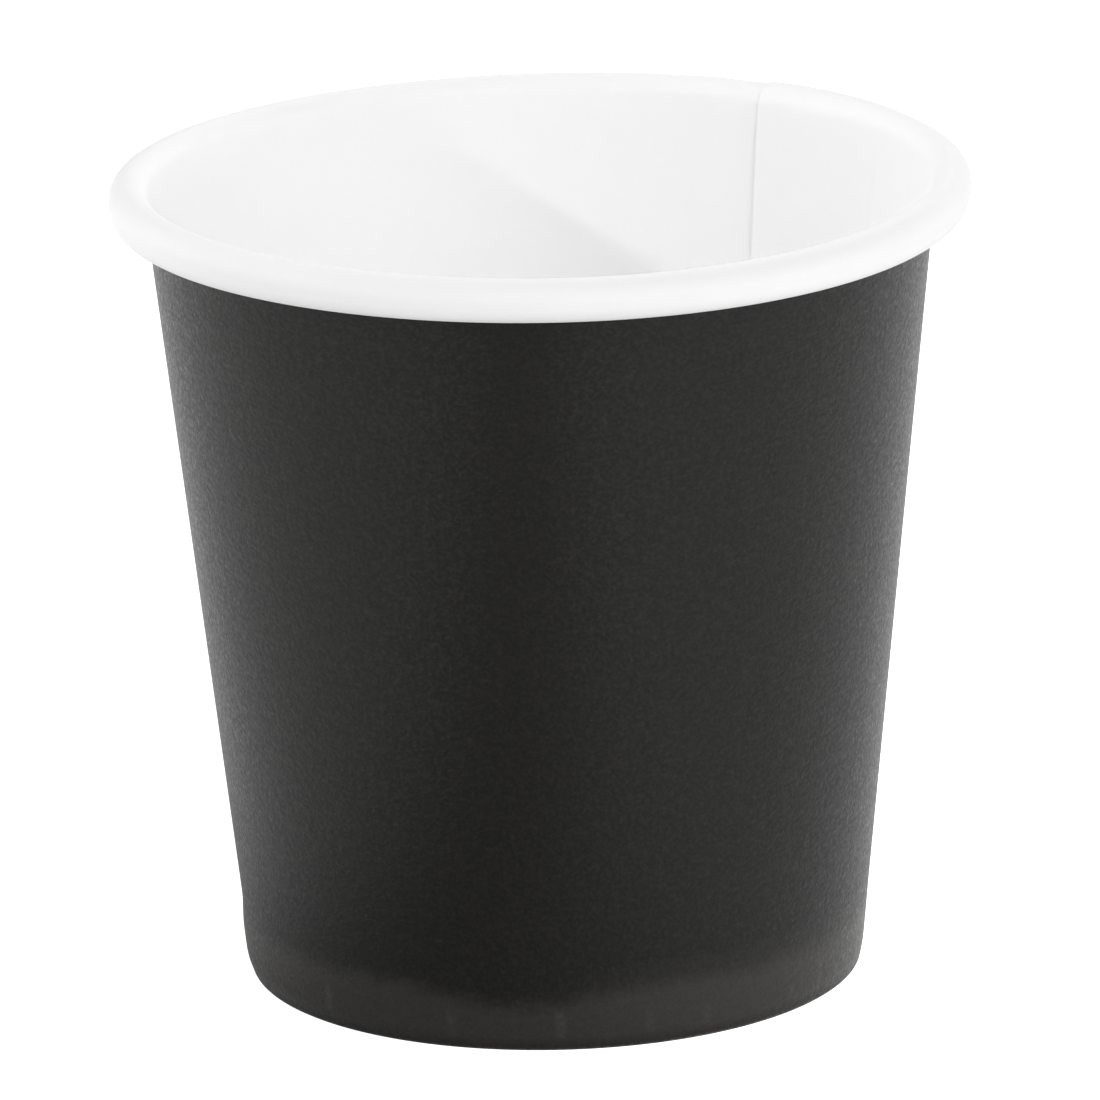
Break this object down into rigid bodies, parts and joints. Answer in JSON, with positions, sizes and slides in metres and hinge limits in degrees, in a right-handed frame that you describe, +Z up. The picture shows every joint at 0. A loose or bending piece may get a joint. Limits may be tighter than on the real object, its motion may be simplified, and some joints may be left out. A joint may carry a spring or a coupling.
{
  "type": "disposable espresso cup",
  "caption": "Small single-wall paper cup for espresso: tapered matte black wall, white inside, white rolled rim, side seam and a recessed floor.",
  "frame": {"origin": "centre of the ring that the cup stands on, in the plane of the table", "axes": "+Z up along the cup's axis; -Y towards the picture's camera; the cut edge of the side seam, inside the cup, lies 55 degrees from +X towards +Y"},
  "size_m": [0.0621, 0.0623, 0.059],
  "materials": {
    "black_board": "matte black print outside; the same board's white coated side shows inside and on the roll",
    "white_board": "white board with a thin satin coating on its upper side"
  },
  "bodies": {
    "root": {"side_wall": "black_board", "bottom_disc": "white_board"}
  },
  "joints": []
}
